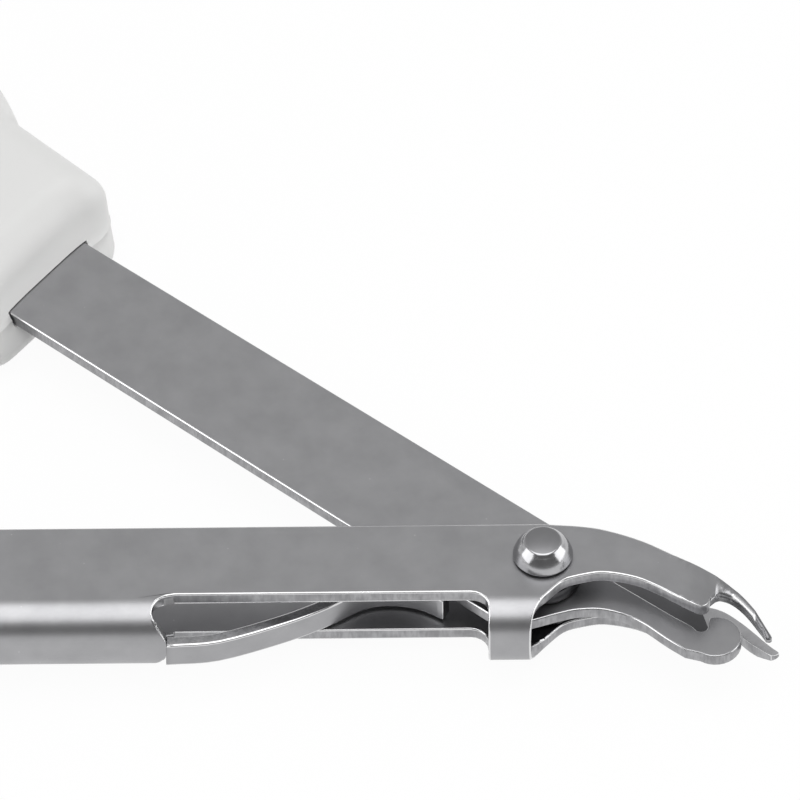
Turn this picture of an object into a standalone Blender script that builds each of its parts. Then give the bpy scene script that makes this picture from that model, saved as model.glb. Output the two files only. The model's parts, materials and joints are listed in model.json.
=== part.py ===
"""Disposable skin staple remover: stamped steel jaws and levers with moulded ring handles.

The tool lies flat on its side. The origin is the centre of the lower rivet head's flat face, +Z runs
along the pivot pin, +X along the channel towards the jaw tip, and +Y towards the upper handle.
Sizes below are in millimetres. Meshes are made in metres.
"""
import math

import bmesh
import bpy
from mathutils import Vector

MM = 0.001

# Sheet steel and the channel-shaped lower lever
SHEET = 1.0                    # thickness of the stamped channel
CHANNEL_WIDTH = 5.7            # outside, across both walls
CHANNEL_TOP = 2.97             # open edge of the walls, above the pivot
CHANNEL_BOTTOM = -5.93         # outside of the closed edge, below the pivot
BEND_RADIUS = 2.4              # outside radius where a wall turns into the closed edge
BEND_STEPS = 7
STRAP_LEFT = -3.85             # the bridge that still joins the walls behind the jaws
STRAP_RIGHT = -0.9
JAW_ARCH_TOP = -1.56           # highest point of the arch under the jaws
NOTCH_ROOT = (12.5, -2.92)     # where the staple sits
TINE_END = (16.38, -6.1)
HEEL = (10.75, -4.48)          # rounded heel behind the notch
PINCH_START = 9.4              # the two walls close in between these two places
PINCH_END = 13.6
PINCH_STEPS = 8
JAW_FLAT_FROM = 2.8            # past this the walls have no bend, whatever their depth
TINE_SLOT = 2.0                # gap left between the two tines where the pinch ends
TINE_TOE_IN = 0.35             # how much closer to the middle each point lies
TINE_BEVEL = 0.33              # width of the steep bevel ground along the near tine's lower edge
TINE_EDGE = 0.45               # sheet left at the ground edge
TIP_GRIND_START = 14.9         # from here to its end the whole outer face is ground back as well
TIP_EDGE = 0.32                # sheet left at the point
NEAR_TINE_SHORTER = 0.5        # the two tines don't end level
FAR_TINE_DEEPER = 0.6          # and the far one is wider behind its point

# Window stamped out of the channel around the leaf spring
WINDOW_LEFT = -27.3            # it ends at the strap
WINDOW_NEAR_EDGE = -3.23
WINDOW_FAR_EDGE = -2.6
WINDOW_CORNER = 1.25
WINDOW_ROOT = 1.0              # how much further right its end lies in the web than in the walls

# Leaf spring
SPRING_THICKNESS = 0.9
SPRING_NEAR = 0.48             # its two long edges, measured from the middle plane
SPRING_FAR = -1.65
SPRING_GAP = 0.3               # slit between the spring's root and the channel
SPRING_RISE = 5.2              # height of its crest over the closed edge
SPRING_CREST = -10.8
SPRING_TIP = -7.0
SPRING_DROOP = 1.3             # how far the tip turns down from the crest

# Flat upper lever with the anvil
BLADE_SHEET = 1.0
OPEN_ANGLE = 39.35             # between the lever and the channel when the spring holds them open
BLADE_UPPER = 4.18             # upper edge above the lever's axis
BLADE_LOWER = 4.94             # lower edge below it, at the pivot
BLADE_LOWER_AT_HANDLE = 4.27
BLADE_EDGE_RADIUS = 0.12
ARM_TOP = 2.95                 # edges of the arm that reaches forward to the anvil
ARM_BOTTOM = 1.02
ANVIL_CENTRE = (12.74, 3.3)
ANVIL_RADIUS = 1.83
ANVIL_NOTCH = (11.5, 2.96)

# Rivet and washers
SHANK_RADIUS = 1.25
HEAD_RADIUS = 2.1
HEAD_FLAT_RADIUS = 1.3
HEAD_HEIGHT = 1.5
SEAT_GAP = 0.15                # left between faces that touch on the real tool
PIVOT_CLEARANCE = 0.15         # around the shank
WASHER_RADIUS = 2.6
ROUND_STEPS = 48

# Moulded handles
HANDLE_FRONT = 43.5            # nose of a handle, from the pivot
HANDLE_HALF_WIDTH = 7.8
HANDLE_CORNER = 2.9
HANDLE_EDGE_RADIUS = 2.7
HANDLE_NECK_END = 53.9         # where the neck starts to open out into the ring
HANDLE_NECK_HALF = 8.3         # half its width there
HANDLE_FLARE = 0.72            # slope at which it opens out
RING_CENTRE = 76.0
RING_RADIUS = 18.0
FINGER_HOLE_RADIUS = 12.5
RING_JOIN_ANGLE = 50.0         # where the neck meets the ring
NOSE_LEAN = 1.04               # how far the nose leans back one millimetre above its lowest corner
NOSE_CHEEKS = 0.6              # share of the lean that is lost at the handle's sides
NOSE_LEAN_END = 55.0
TANG_END = 62.0                # end of the steel inside a handle
TANG_GAP = 0.25
LOWER_HANDLE_SHIFT = 1.5       # the lower handle's nose stands this much further back

# Heights that follow from the stack on the rivet
SKIN = HEAD_HEIGHT + SEAT_GAP
MID_PLANE = SKIN + CHANNEL_WIDTH / 2
HANDLE_HALF_DEPTH = CHANNEL_WIDTH / 2 + SKIN
CHANNEL_AXIS = (CHANNEL_TOP + CHANNEL_BOTTOM) / 2
INNER_HALF = CHANNEL_WIDTH / 2 - SHEET

# The channel's bend: the flat half of its web, the sheet that a bend takes up, and where a wall is flat
WEB_HALF = CHANNEL_WIDTH / 2 - BEND_RADIUS
BEND_LENGTH = (BEND_RADIUS - SHEET / 2) * math.pi / 2
BEND_TOP = CHANNEL_BOTTOM + BEND_RADIUS

STEEL = ((0.50, 0.50, 0.51), 0.32, 1.0)
SPRING_STEEL = ((0.46, 0.46, 0.47), 0.30, 1.0)
RIVET_STEEL = ((0.60, 0.60, 0.61), 0.18, 1.0)
WHITE_PLASTIC = ((0.84, 0.84, 0.83), 0.38, 0.0)


def clear_scene():
    """Remove every object that the file holds at the start."""
    for item in list(bpy.data.objects):
        bpy.data.objects.remove(item, do_unlink=True)


def make_material(name, finish):
    """Return a Principled material with a colour, roughness and metallic value."""
    colour, roughness, metallic = finish
    material = bpy.data.materials.new(name)
    material.use_nodes = True
    shader = material.node_tree.nodes["Principled BSDF"]
    shader.inputs["Base Color"].default_value = (*colour, 1.0)
    shader.inputs["Roughness"].default_value = roughness
    shader.inputs["Metallic"].default_value = metallic
    material.diffuse_color = (*colour, 1.0)
    return material


def make_object(name, bm, finish=None):
    """Turn a bmesh that is in millimetres into an object in metres."""
    bmesh.ops.scale(bm, vec=(MM, MM, MM), verts=bm.verts)
    bmesh.ops.recalc_face_normals(bm, faces=bm.faces)
    mesh = bpy.data.meshes.new(name)
    bm.to_mesh(mesh)
    bm.free()
    mesh.shade_smooth()
    mesh.set_sharp_from_angle(angle=math.radians(30))
    item = bpy.data.objects.new(name, mesh)
    bpy.context.scene.collection.objects.link(item)
    if finish:
        mesh.materials.append(make_material(name, finish))
    return item


def arc(centre, radius, start, end, steps):
    """Return points on an arc, angles in degrees, both ends included."""
    points = []
    for step in range(steps + 1):
        angle = math.radians(start + (end - start) * step / steps)
        points.append((centre[0] + radius * math.cos(angle), centre[1] + radius * math.sin(angle)))
    return points


def spline(points, steps):
    """Return a smooth curve through the points, both ends included."""
    vectors = [Vector(point) for point in points]
    ends = [2 * vectors[0] - vectors[1]] + vectors + [2 * vectors[-1] - vectors[-2]]
    curve = []
    for before, start, end, after in zip(ends, ends[1:], ends[2:], ends[3:]):
        for step in range(steps):
            t = step / steps
            point = 0.5 * (2 * start + (end - before) * t
                           + (2 * before - 5 * start + 4 * end - after) * t ** 2
                           + (3 * start - before - 3 * end + after) * t ** 3)
            curve.append(tuple(point))
    curve.append(tuple(vectors[-1]))
    return curve


def bezier(start, pull_start, pull_end, end, steps):
    """Return points on a cubic curve between two ends, both included."""
    points = []
    for step in range(steps + 1):
        t = step / steps
        weights = ((1 - t) ** 3, 3 * t * (1 - t) ** 2, 3 * t * t * (1 - t), t ** 3)
        corners = (start, pull_start, pull_end, end)
        points.append(tuple(sum(w * c[axis] for w, c in zip(weights, corners)) for axis in (0, 1)))
    return points


def inset(loop, distance):
    """Move each point of a loop to its left by a distance, keeping the sides parallel."""
    moved = []
    for index, point in enumerate(loop):
        before = Vector(loop[index - 1])
        here = Vector(point)
        after = Vector(loop[(index + 1) % len(loop)])
        first = (here - before).normalized()
        second = (after - here).normalized()
        normal = Vector((-first.y - second.y, first.x + second.x)).normalized()
        stretch = max(0.5, normal.dot(Vector((-first.y, first.x))))
        moved.append(tuple(here + normal * distance / stretch))
    return moved


def plate(loops, low, high, radius=0.0, steps=1):
    """Return a bmesh of a plate with rounded rims.

    The first loop is the outline, anticlockwise. The others are holes, clockwise.
    """
    levels = [(0.0, low), (0.0, high)]
    if radius:
        turns = [math.pi / 2 * step / steps for step in range(steps + 1)]
        levels = [(radius * (1 - math.sin(t)), low + radius * (1 - math.cos(t))) for t in turns]
        levels += [(radius * (1 - math.cos(t)), high - radius * (1 - math.sin(t))) for t in turns]
    bm = bmesh.new()
    rims = {"low": [], "high": []}
    for loop in loops:
        rings = []
        for distance, height in levels:
            ring = inset(loop, distance) if distance else loop
            rings.append([bm.verts.new((x, y, height)) for x, y in ring])
        for lower, upper in zip(rings, rings[1:]):
            for index in range(len(loop)):
                following = (index + 1) % len(loop)
                bm.faces.new((lower[index], lower[following], upper[following], upper[index]))
        for key, ring in (("low", rings[0]), ("high", rings[-1])):
            rims[key] += [bm.edges.get((ring[i], ring[i - 1])) for i in range(len(ring))]
    for edges in rims.values():
        bmesh.ops.triangle_fill(bm, use_beauty=True, edges=edges)
    return bm


def turned(profile, steps=ROUND_STEPS):
    """Return a bmesh of a closed profile of (radius, height) points turned about Z."""
    bm = bmesh.new()
    rings = []
    for radius, height in profile:
        if radius < 1e-6:
            rings.append([bm.verts.new((0, 0, height))])
            continue
        rings.append([bm.verts.new((x, y, height)) for x, y in arc((0, 0), radius, 0, 360, steps)[:-1]])
    pairs = list(zip(rings, rings[1:]))
    if len(rings[0]) > 1:
        pairs.append((rings[-1], rings[0]))
    for lower, upper in pairs:
        for index in range(steps):
            following = (index + 1) % steps
            corners = [lower[index % len(lower)], lower[following % len(lower)],
                       upper[following % len(upper)], upper[index % len(upper)]]
            bm.faces.new(list(dict.fromkeys(corners)))
    return bm


def swept_along_x(loop, start, end):
    """Return a bmesh of a (y, z) outline extruded along X."""
    bm = bmesh.new()
    bottom = [bm.verts.new((start, y, z)) for y, z in loop]
    face = bm.faces.new(bottom)
    grown = bmesh.ops.extrude_face_region(bm, geom=[face])
    moved = [item for item in grown["geom"] if isinstance(item, bmesh.types.BMVert)]
    bmesh.ops.translate(bm, vec=(end - start, 0, 0), verts=moved)
    return bm


def carve(target, cutters):
    """Cut other objects out of one, keep the result in its mesh and drop the others."""
    for cutter in cutters:
        cutter.hide_render = True
        cutter.display_type = "WIRE"
        change = target.modifiers.new("cut", "BOOLEAN")
        change.operation = "DIFFERENCE"
        change.solver = "EXACT"
        change.object = cutter
    bpy.context.view_layer.update()
    depsgraph = bpy.context.evaluated_depsgraph_get()
    result = bpy.data.meshes.new_from_object(target.evaluated_get(depsgraph))
    target.modifiers.clear()
    target.data = result
    for cutter in cutters:
        bpy.data.objects.remove(cutter, do_unlink=True)
    return target


def channel_section(grow=0.0):
    """Return the (y, z) outline of the U-shaped sheet, open upwards, thickened by grow."""
    outer = CHANNEL_WIDTH / 2 + grow
    inner = INNER_HALF - grow
    radius = BEND_RADIUS + grow
    inner_radius = BEND_RADIUS - SHEET - grow
    bend_y = CHANNEL_BOTTOM + BEND_RADIUS
    bend_z = CHANNEL_WIDTH / 2 - BEND_RADIUS
    top = CHANNEL_TOP + grow
    half = [(bend_y, bend_z, radius, 90, 180), (bend_y, -bend_z, radius, 180, 270)]
    outline = [(top, MID_PLANE + outer)]
    for y, z, size, start, end in half:
        outline += [(p, MID_PLANE + q) for p, q in arc((y, z), size, start, end, BEND_STEPS)]
    outline += [(top, MID_PLANE - outer), (top, MID_PLANE - inner)]
    for y, z, size, start, end in reversed(half):
        outline += [(p, MID_PLANE + q) for p, q in arc((y, z), inner_radius, end, start, BEND_STEPS)]
    outline.append((top, MID_PLANE + inner))
    return outline


def wall_outline(deeper):
    """Return the side view of one wall, from its far left along the top, round the jaw to the strap."""
    notch_x, notch_y = NOTCH_ROOT
    end_x, end_y = TINE_END
    heel_x, heel_y = HEEL
    hook = (notch_x - 0.9, notch_y - 0.65)
    toe = (end_x - 0.55, end_y - 0.22)
    rise = (heel_x - 0.85, heel_y + 0.32)
    back = spline([(0.0, CHANNEL_TOP), (2.57, CHANNEL_TOP - 0.22), (4.5, 2.34), (7.06, 1.28), (9.64, -0.28),
                   (12.04, -1.48), (13.55, -2.78), (14.6, -3.97), (end_x - 0.98, end_y + 1.12),
                   (end_x - 0.4, end_y + 0.45), (end_x - 0.08, end_y + 0.12), (end_x, end_y - 0.06),
                   (end_x - 0.2, end_y - 0.22), toe], 4)
    ramp = spline([toe, (15.06, -5.32 - 0.5 * deeper), (14.17, -4.15 - deeper),
                   (notch_x + 0.7, notch_y - 0.27 - 0.5 * deeper), NOTCH_ROOT,
                   (notch_x - 0.45, notch_y - 0.12), hook], 4)
    heel = spline([hook, (heel_x + 0.77, heel_y + 0.5), (heel_x + 0.5, heel_y + 0.12), HEEL, rise], 3)
    arch = spline([rise, (8.97, -3.57), (8.03, -2.92), (6.4, JAW_ARCH_TOP - 0.48), (4.29, JAW_ARCH_TOP),
                   (2.8, JAW_ARCH_TOP - 0.2), (1.44, -2.25), (0.3, -3.4), (-0.27, -4.15), (-0.74, -5.1),
                   (STRAP_RIGHT, CHANNEL_BOTTOM)], 4)
    return [(-TANG_END, CHANNEL_TOP)] + back + ramp[1:] + heel[1:] + arch[1:]


def window_side(edge):
    """Return one wall's share of the window, from the web at its left end to the web at its right end."""
    left, right, corner = WINDOW_LEFT, STRAP_LEFT, WINDOW_CORNER
    rounded = spline([(left + WINDOW_ROOT, CHANNEL_BOTTOM), (left + 0.5, CHANNEL_BOTTOM + 0.4),
                      (left, CHANNEL_BOTTOM + 1.2), (left + 0.3, edge - 0.65), (left + 0.85, edge - 0.18),
                      (left + 1.6, edge)], 4)
    return rounded + arc((right - corner, edge - corner), corner, 90, 0, 5) + [(right, CHANNEL_BOTTOM)]


def unfold(points, side):
    """Lay side-view points of a wall out on the flat blank. The near side is 1 and the far side is -1."""
    laid = []
    for x, y in points:
        if y >= BEND_TOP or x > JAW_FLAT_FROM:
            across = WEB_HALF + BEND_LENGTH + y - BEND_TOP
        else:
            turn = math.acos(min(1.0, (BEND_TOP - y) / BEND_RADIUS))
            across = WEB_HALF + BEND_LENGTH * turn / (math.pi / 2)
        laid.append((x, side * across))
    return laid


def fold(bm):
    """Bend both walls of the flat blank up from the web."""
    for vert in bm.verts:
        x, across, depth = vert.co
        side = 1 if across > 0 else -1
        across = abs(across)
        if across >= WEB_HALF + BEND_LENGTH or x > JAW_FLAT_FROM:
            y = BEND_TOP + across - WEB_HALF - BEND_LENGTH
            z = CHANNEL_WIDTH / 2 - depth
        elif across <= WEB_HALF:
            y = CHANNEL_BOTTOM + depth
            z = across
        else:
            turn = (across - WEB_HALF) / BEND_LENGTH * math.pi / 2
            y = BEND_TOP - (BEND_RADIUS - depth) * math.cos(turn)
            z = WEB_HALF + (BEND_RADIUS - depth) * math.sin(turn)
        vert.co = (x, y, MID_PLANE + side * z)


def slice_mesh(bm, point, normal, faces=None):
    """Add a row of edges where a plane crosses the mesh, or only where it crosses some faces."""
    chosen = set(faces or bm.faces)
    for face in list(chosen):
        chosen.update(face.edges)
        chosen.update(face.verts)
    bmesh.ops.bisect_plane(bm, geom=list(chosen), plane_co=point, plane_no=normal)


def pinch_jaws(bm):
    """Bring both tines towards the middle plane, grind the near one's edge and both their points."""
    start = Vector((NOTCH_ROOT[0] + 0.6, NOTCH_ROOT[1] + 0.1, 0))
    along = (Vector((TINE_END[0] - 0.78, TINE_END[1] + 0.52, 0)) - start).normalized()
    down = Vector((along.y, -along.x, 0))
    slice_mesh(bm, start, down, [face for face in bm.faces if face.calc_center_median().x > start.x])
    for vert in bm.verts:
        side = 1 if vert.co.z > MID_PLANE else -1
        reach = min(1.0, max(0.0, (vert.co.x - PINCH_START) / (PINCH_END - PINCH_START)))
        shift = (INNER_HALF - TINE_SLOT / 2) * reach * reach * (3 - 2 * reach)
        shift += TINE_TOE_IN * max(0.0, vert.co.x - PINCH_END) / (TINE_END[0] - PINCH_END)
        outside = abs(vert.co.z - MID_PLANE) > INNER_HALF + SHEET / 2
        below = down.dot(vert.co - start)
        if outside and vert.co.x > start.x:
            bevel = (SHEET - TINE_EDGE) * min(1.0, max(0.0, below / TINE_BEVEL)) if side > 0 else 0.0
            tip = max(0.0, vert.co.x - TIP_GRIND_START) / (TINE_END[0] - TIP_GRIND_START)
            shift += min(SHEET - TIP_EDGE, bevel + (SHEET - TIP_EDGE) * tip)
        vert.co.z -= side * shift
        if side > 0 and vert.co.x > start.x:
            vert.co.x -= NEAR_TINE_SHORTER * ((vert.co.x - start.x) / (TINE_END[0] - start.x)) ** 2


def build_frame():
    """Build the lower lever as one blank that is folded to a channel, with both jaw tines pinched in."""
    outline = unfold(wall_outline(FAR_TINE_DEEPER), -1) + unfold(wall_outline(0.0), 1)[::-1]
    window = unfold(window_side(WINDOW_NEAR_EDGE), 1) + unfold(window_side(WINDOW_FAR_EDGE), -1)[::-1]
    loops = [outline, window]
    for side in (1, -1):
        hole = unfold(arc((0, 0), SHANK_RADIUS + PIVOT_CLEARANCE, 360, 0, ROUND_STEPS)[:-1], side)
        loops.append(hole if side > 0 else hole[::-1])
    blank = plate(loops, 0, SHEET)
    for step in range(BEND_STEPS + 1):
        for side in (1, -1):
            across = side * (WEB_HALF + BEND_LENGTH * step / BEND_STEPS)
            slice_mesh(blank, (0, across, 0), (0, 1, 0))
    stations = [PINCH_START + (PINCH_END - PINCH_START) * step / PINCH_STEPS for step in range(PINCH_STEPS + 1)]
    for station in stations + [TIP_GRIND_START, (TIP_GRIND_START + TINE_END[0]) / 2]:
        slice_mesh(blank, (station, 0, 0), (1, 0, 0))
    fold(blank)
    pinch_jaws(blank)
    bmesh.ops.triangulate(blank, faces=blank.faces)
    return make_object("frame_channel", blank, STEEL)


def build_spring():
    """Build the leaf spring that rises from the closed edge to the upper lever's lower edge."""
    root = WINDOW_LEFT + WINDOW_ROOT + SPRING_GAP
    base = CHANNEL_BOTTOM
    crest = base + SPRING_RISE
    under = spline([(root, base), (root + 3.4, base + 0.33), (root + 8.0, base + 1.95),
                    (SPRING_CREST - 4.2, crest - 1.8), (SPRING_CREST - 1.8, crest - 0.35),
                    (SPRING_CREST, crest), (SPRING_CREST + 2.0, crest - 0.25 * SPRING_DROOP),
                    (SPRING_TIP, crest - SPRING_DROOP)], 4)
    over = inset(under, SPRING_THICKNESS)
    over[0] = (root, base + SPRING_THICKNESS)
    first, last = Vector(under[-2]), Vector(under[-1])
    along = (last - first).normalized()
    over[-1] = tuple(last + Vector((-along.y, along.x)) * SPRING_THICKNESS)
    outline = [(x - root, y - base) for x, y in under + over[::-1]]
    spring = make_object("leaf_spring", plate([outline], MID_PLANE + SPRING_FAR, MID_PLANE + SPRING_NEAR, 0.1, 1),
                         SPRING_STEEL)
    spring.location = (root * MM, base * MM, 0)
    return spring


def blade_lower(x):
    """Return the height of the blade's lower edge at a place behind the pivot."""
    slope = (BLADE_LOWER - BLADE_LOWER_AT_HANDLE) / HANDLE_FRONT
    return -BLADE_LOWER - slope * x


def blade_outline():
    """Return the flat lever's outline in its own axes: pivot at the origin, anvil at +X."""
    centre_x, centre_y = ANVIL_CENTRE
    notch_x, notch_y = ANVIL_NOTCH
    heel = spline([(-1.1, blade_lower(-1.1)), (0.1, 0.16 - BLADE_LOWER), (1.5, 0.94 - BLADE_LOWER),
                   (2.85, ARM_BOTTOM - 2.97), (3.8, ARM_BOTTOM - 1.7), (5.3, ARM_BOTTOM - 0.55),
                   (7.6, ARM_BOTTOM + 0.08), (10.2, ARM_BOTTOM),
                   (centre_x - 0.9, ARM_BOTTOM + 0.02)], 4)
    lobe = arc(ANVIL_CENTRE, ANVIL_RADIUS, -85, 132, 20)
    notch = spline([lobe[-1], (notch_x - 0.1, notch_y + 1.35), (notch_x + 0.36, notch_y + 0.5), ANVIL_NOTCH,
                    (notch_x - 0.75, ARM_TOP + 0.1), (9.0, ARM_TOP), (6.0, ARM_TOP - 0.05),
                    (4.4, ARM_TOP - 0.1)], 4)
    start = math.degrees(math.asin(ARM_TOP / BLADE_UPPER))
    crown = arc((0, 0), BLADE_UPPER, start, 90, 8)
    tail = [(-TANG_END, BLADE_UPPER), (-TANG_END, blade_lower(-TANG_END))]
    return heel + lobe + notch[1:] + crown + tail


def build_blade(axis):
    """Build the flat upper lever with its anvil."""
    hole = arc((0, 0), SHANK_RADIUS + PIVOT_CLEARANCE, 360, 0, ROUND_STEPS)[:-1]
    low = MID_PLANE - BLADE_SHEET / 2
    blade = make_object("anvil_lever", plate([blade_outline(), hole], low, low + BLADE_SHEET,
                                             BLADE_EDGE_RADIUS, 2), STEEL)
    blade.parent = axis
    return blade


def rivet_head(seat, direction):
    """Return the (radius, height) points of a turned head, from its seat to the rim of its flat."""
    step = HEAD_RADIUS - HEAD_FLAT_RADIUS
    points = [(HEAD_RADIUS - 0.25, 0.0), (HEAD_RADIUS - 0.06, 0.12 * HEAD_HEIGHT),
              (HEAD_RADIUS, 0.27 * HEAD_HEIGHT), (HEAD_RADIUS - 0.08 * step, 0.42 * HEAD_HEIGHT),
              (HEAD_RADIUS - 0.26 * step, 0.6 * HEAD_HEIGHT),
              (HEAD_RADIUS - 0.52 * step, 0.78 * HEAD_HEIGHT), (HEAD_RADIUS - 0.8 * step, 0.92 * HEAD_HEIGHT),
              (HEAD_FLAT_RADIUS, HEAD_HEIGHT)]
    return [(radius, seat + direction * height) for radius, height in points]


def build_rivet():
    """Build the pivot rivet: its shank and both heads are one piece."""
    seat = CHANNEL_WIDTH / 2 + SEAT_GAP
    lower = rivet_head(MID_PLANE - seat, -1)[::-1]
    upper = rivet_head(MID_PLANE + seat, 1)
    profile = [(0.0, lower[0][1])] + lower + [(SHANK_RADIUS, lower[-1][1]), (SHANK_RADIUS, upper[0][1])]
    profile += upper + [(0.0, upper[-1][1])]
    return make_object("pivot_rivet", turned(profile), RIVET_STEEL)


def build_washer(name, side):
    """Build a spacer that keeps the blade in the middle of the channel."""
    inside = BLADE_SHEET / 2 + SEAT_GAP
    outside = INNER_HALF - SEAT_GAP
    low, high = sorted((MID_PLANE + side * inside, MID_PLANE + side * outside))
    bore = SHANK_RADIUS + PIVOT_CLEARANCE
    profile = [(bore, low), (WASHER_RADIUS, low), (WASHER_RADIUS, high), (bore, high)]
    return make_object(name, turned(profile), STEEL)


def handle_outline(front):
    """Return half of a handle's side view, from the middle of its nose to the end of its ring."""
    half, corner = HANDLE_HALF_WIDTH, HANDLE_CORNER
    nose = [(front, 0.0)] + arc((front + corner, half - corner), corner, 180, 90, 6)
    angle = math.radians(RING_JOIN_ANGLE)
    join = (RING_CENTRE - RING_RADIUS * math.cos(angle), RING_RADIUS * math.sin(angle))
    pull = 4.0
    neck = bezier((HANDLE_NECK_END, HANDLE_NECK_HALF),
                  (HANDLE_NECK_END + pull, HANDLE_NECK_HALF + HANDLE_FLARE * pull),
                  (join[0] - pull * math.sin(angle), join[1] - pull * math.cos(angle)), join, 7)
    ring = arc((RING_CENTRE, 0), RING_RADIUS, 180 - RING_JOIN_ANGLE, 0, 20)
    return nose + neck + ring[1:]


def build_handle(name, front):
    """Build a moulded ring handle along -X, solid round the steel that it grips."""
    half = handle_outline(front)
    loop = [(-x, y) for x, y in half] + [(-x, -y) for x, y in half[-2:0:-1]]
    hole = arc((-RING_CENTRE, 0), FINGER_HOLE_RADIUS, 360, 0, ROUND_STEPS)[:-1]
    low = MID_PLANE - HANDLE_HALF_DEPTH
    body = plate([loop, hole], low, low + 2 * HANDLE_HALF_DEPTH, HANDLE_EDGE_RADIUS, 5)
    lean_from = low + HANDLE_EDGE_RADIUS
    for vert in body.verts:
        fade = min(1.0, max(0.0, (NOSE_LEAN_END + vert.co.x) / (NOSE_LEAN_END - front)))
        fade *= 1.0 - NOSE_CHEEKS * (vert.co.y / HANDLE_HALF_WIDTH) ** 4 if fade else 0.0
        vert.co.x -= NOSE_LEAN * fade * math.sqrt(max(0.0, vert.co.z - lean_from))
    return make_object(name, body, WHITE_PLASTIC)


def build_upper_handle(axis):
    """Build the handle on the flat lever, with a slot for its tang."""
    handle = build_handle("upper_handle", HANDLE_FRONT)
    gap = TANG_GAP
    mouth = HANDLE_FRONT - HANDLE_CORNER
    end = TANG_END + gap
    slot = [(-end, blade_lower(-end) - gap), (-mouth, blade_lower(-mouth) - gap), (-mouth, BLADE_UPPER + gap),
            (-end, BLADE_UPPER + gap)]
    half = BLADE_SHEET / 2 + gap
    carve(handle, [make_object("tang_slot", plate([slot], MID_PLANE - half, MID_PLANE + half))])
    handle.parent = axis
    return handle


def build_lower_handle():
    """Build the handle on the channel, whose pocket follows the channel's section."""
    handle = build_handle("lower_handle", HANDLE_FRONT + LOWER_HANDLE_SHIFT)
    handle.location.y = CHANNEL_AXIS * MM
    pocket = swept_along_x(channel_section(TANG_GAP), -TANG_END - TANG_GAP, HANDLE_CORNER - HANDLE_FRONT)
    carve(handle, [make_object("channel_pocket", pocket)])
    return handle


def build_all():
    """Build every piece in its place with the lever open."""
    clear_scene()
    axis = bpy.data.objects.new("lever_axis", None)
    axis.rotation_euler.z = -math.radians(OPEN_ANGLE)
    bpy.context.scene.collection.objects.link(axis)
    build_frame()
    build_spring()
    build_blade(axis)
    build_rivet()
    build_washer("upper_spacer_washer", 1)
    build_washer("lower_spacer_washer", -1)
    build_upper_handle(axis)
    build_lower_handle()
    bpy.context.view_layer.update()


build_all()
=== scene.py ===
"""Looks of a skin staple remover: rolled steel levers, a tumbled rivet and white moulded ring handles.

The tool lies flat on its side. Lengths in the classes are millimetres and meshes are in metres.
The finishes were fitted to the grey levels of the photograph, so what their names say is a guess.
"""
import json
import logging
import math
from dataclasses import dataclass
from enum import Enum

import bmesh
import bpy
from mathutils import Matrix, Vector

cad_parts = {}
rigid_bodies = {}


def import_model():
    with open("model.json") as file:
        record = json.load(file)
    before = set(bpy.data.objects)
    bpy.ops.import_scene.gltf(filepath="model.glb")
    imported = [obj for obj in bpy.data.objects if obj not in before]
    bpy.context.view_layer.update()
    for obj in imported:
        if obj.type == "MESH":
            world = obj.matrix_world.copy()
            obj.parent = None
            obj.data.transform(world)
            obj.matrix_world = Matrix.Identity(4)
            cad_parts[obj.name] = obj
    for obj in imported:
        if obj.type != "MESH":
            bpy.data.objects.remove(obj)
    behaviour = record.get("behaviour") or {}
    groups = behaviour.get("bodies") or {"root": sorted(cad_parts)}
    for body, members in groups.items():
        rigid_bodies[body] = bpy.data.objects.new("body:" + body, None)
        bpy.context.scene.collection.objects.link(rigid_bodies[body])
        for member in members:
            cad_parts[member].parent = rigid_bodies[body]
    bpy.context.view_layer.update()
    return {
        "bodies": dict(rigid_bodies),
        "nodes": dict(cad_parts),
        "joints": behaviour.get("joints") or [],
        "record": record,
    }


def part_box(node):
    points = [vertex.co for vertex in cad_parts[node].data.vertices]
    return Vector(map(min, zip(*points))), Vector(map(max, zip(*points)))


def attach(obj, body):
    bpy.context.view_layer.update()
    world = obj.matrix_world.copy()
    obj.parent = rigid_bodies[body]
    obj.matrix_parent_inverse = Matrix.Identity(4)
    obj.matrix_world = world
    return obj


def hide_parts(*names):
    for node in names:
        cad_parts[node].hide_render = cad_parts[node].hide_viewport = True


Outline = list[tuple[float, float]]
Stops = tuple[tuple[float, float], ...]

LOG = logging.getLogger("staple_remover")
MM = 0.001

# Cosines that tell how a face lies.
RIM_BELOW = 0.72                # to the sheet's thickness: a face with less than this is a cut rim
STRIP_RIM_FROM = 0.5            # to Z: with more, a face of the strip on its edge is a rim
STRIP_END_FROM = 0.9            # to X: with more, it is an end
FACES_UP_FROM = 0.9             # to Z: with more, a face of the far wall is its inner one
LEVEL_FROM = 0.99               # to Z: the same, for the part that is cut at the border of two finishes
BEVEL_BETWEEN = (0.12, 0.93)    # to Z: a face of the near tine between these is ground
EXACT_FROM = 0.96               # to the sheet's thickness: with more, a face gets exact shading


class Face(Enum):
    """Kinds of surface on a piece of sheet steel; the value is the material slot on its mesh."""

    ROLLED = 0      # faces of the strip
    SHEARED = 1     # cut rims
    BURNISHED = 2   # rounded corners
    PAINTED_LIGHT = 3     # inner face of the far tine, with painted light
    BEVEL = 4       # outer corner of the near tine, with a painted highlight in its middle
    POINT = 5       # the same corner at the tine's two ends
    PAINTED_SHADE = 6   # inner face of the far wall, from the strap to the tines, with painted shade


def linear(hex_colour: str) -> tuple[float, float, float, float]:
    """Turn an sRGB hex colour into the linear colour that a shader takes.

    Args:
        hex_colour: Six hex digits after a hash.

    Returns:
        Linear red, green and blue, and an alpha of one.
    """
    values = [int(hex_colour[i:i + 2], 16) / 255 for i in (1, 3, 5)]
    red, green, blue = [v / 12.92 if v <= 0.04045 else ((v + 0.055) / 1.055) ** 2.4 for v in values]
    return (red, green, blue, 1.0)


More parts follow.
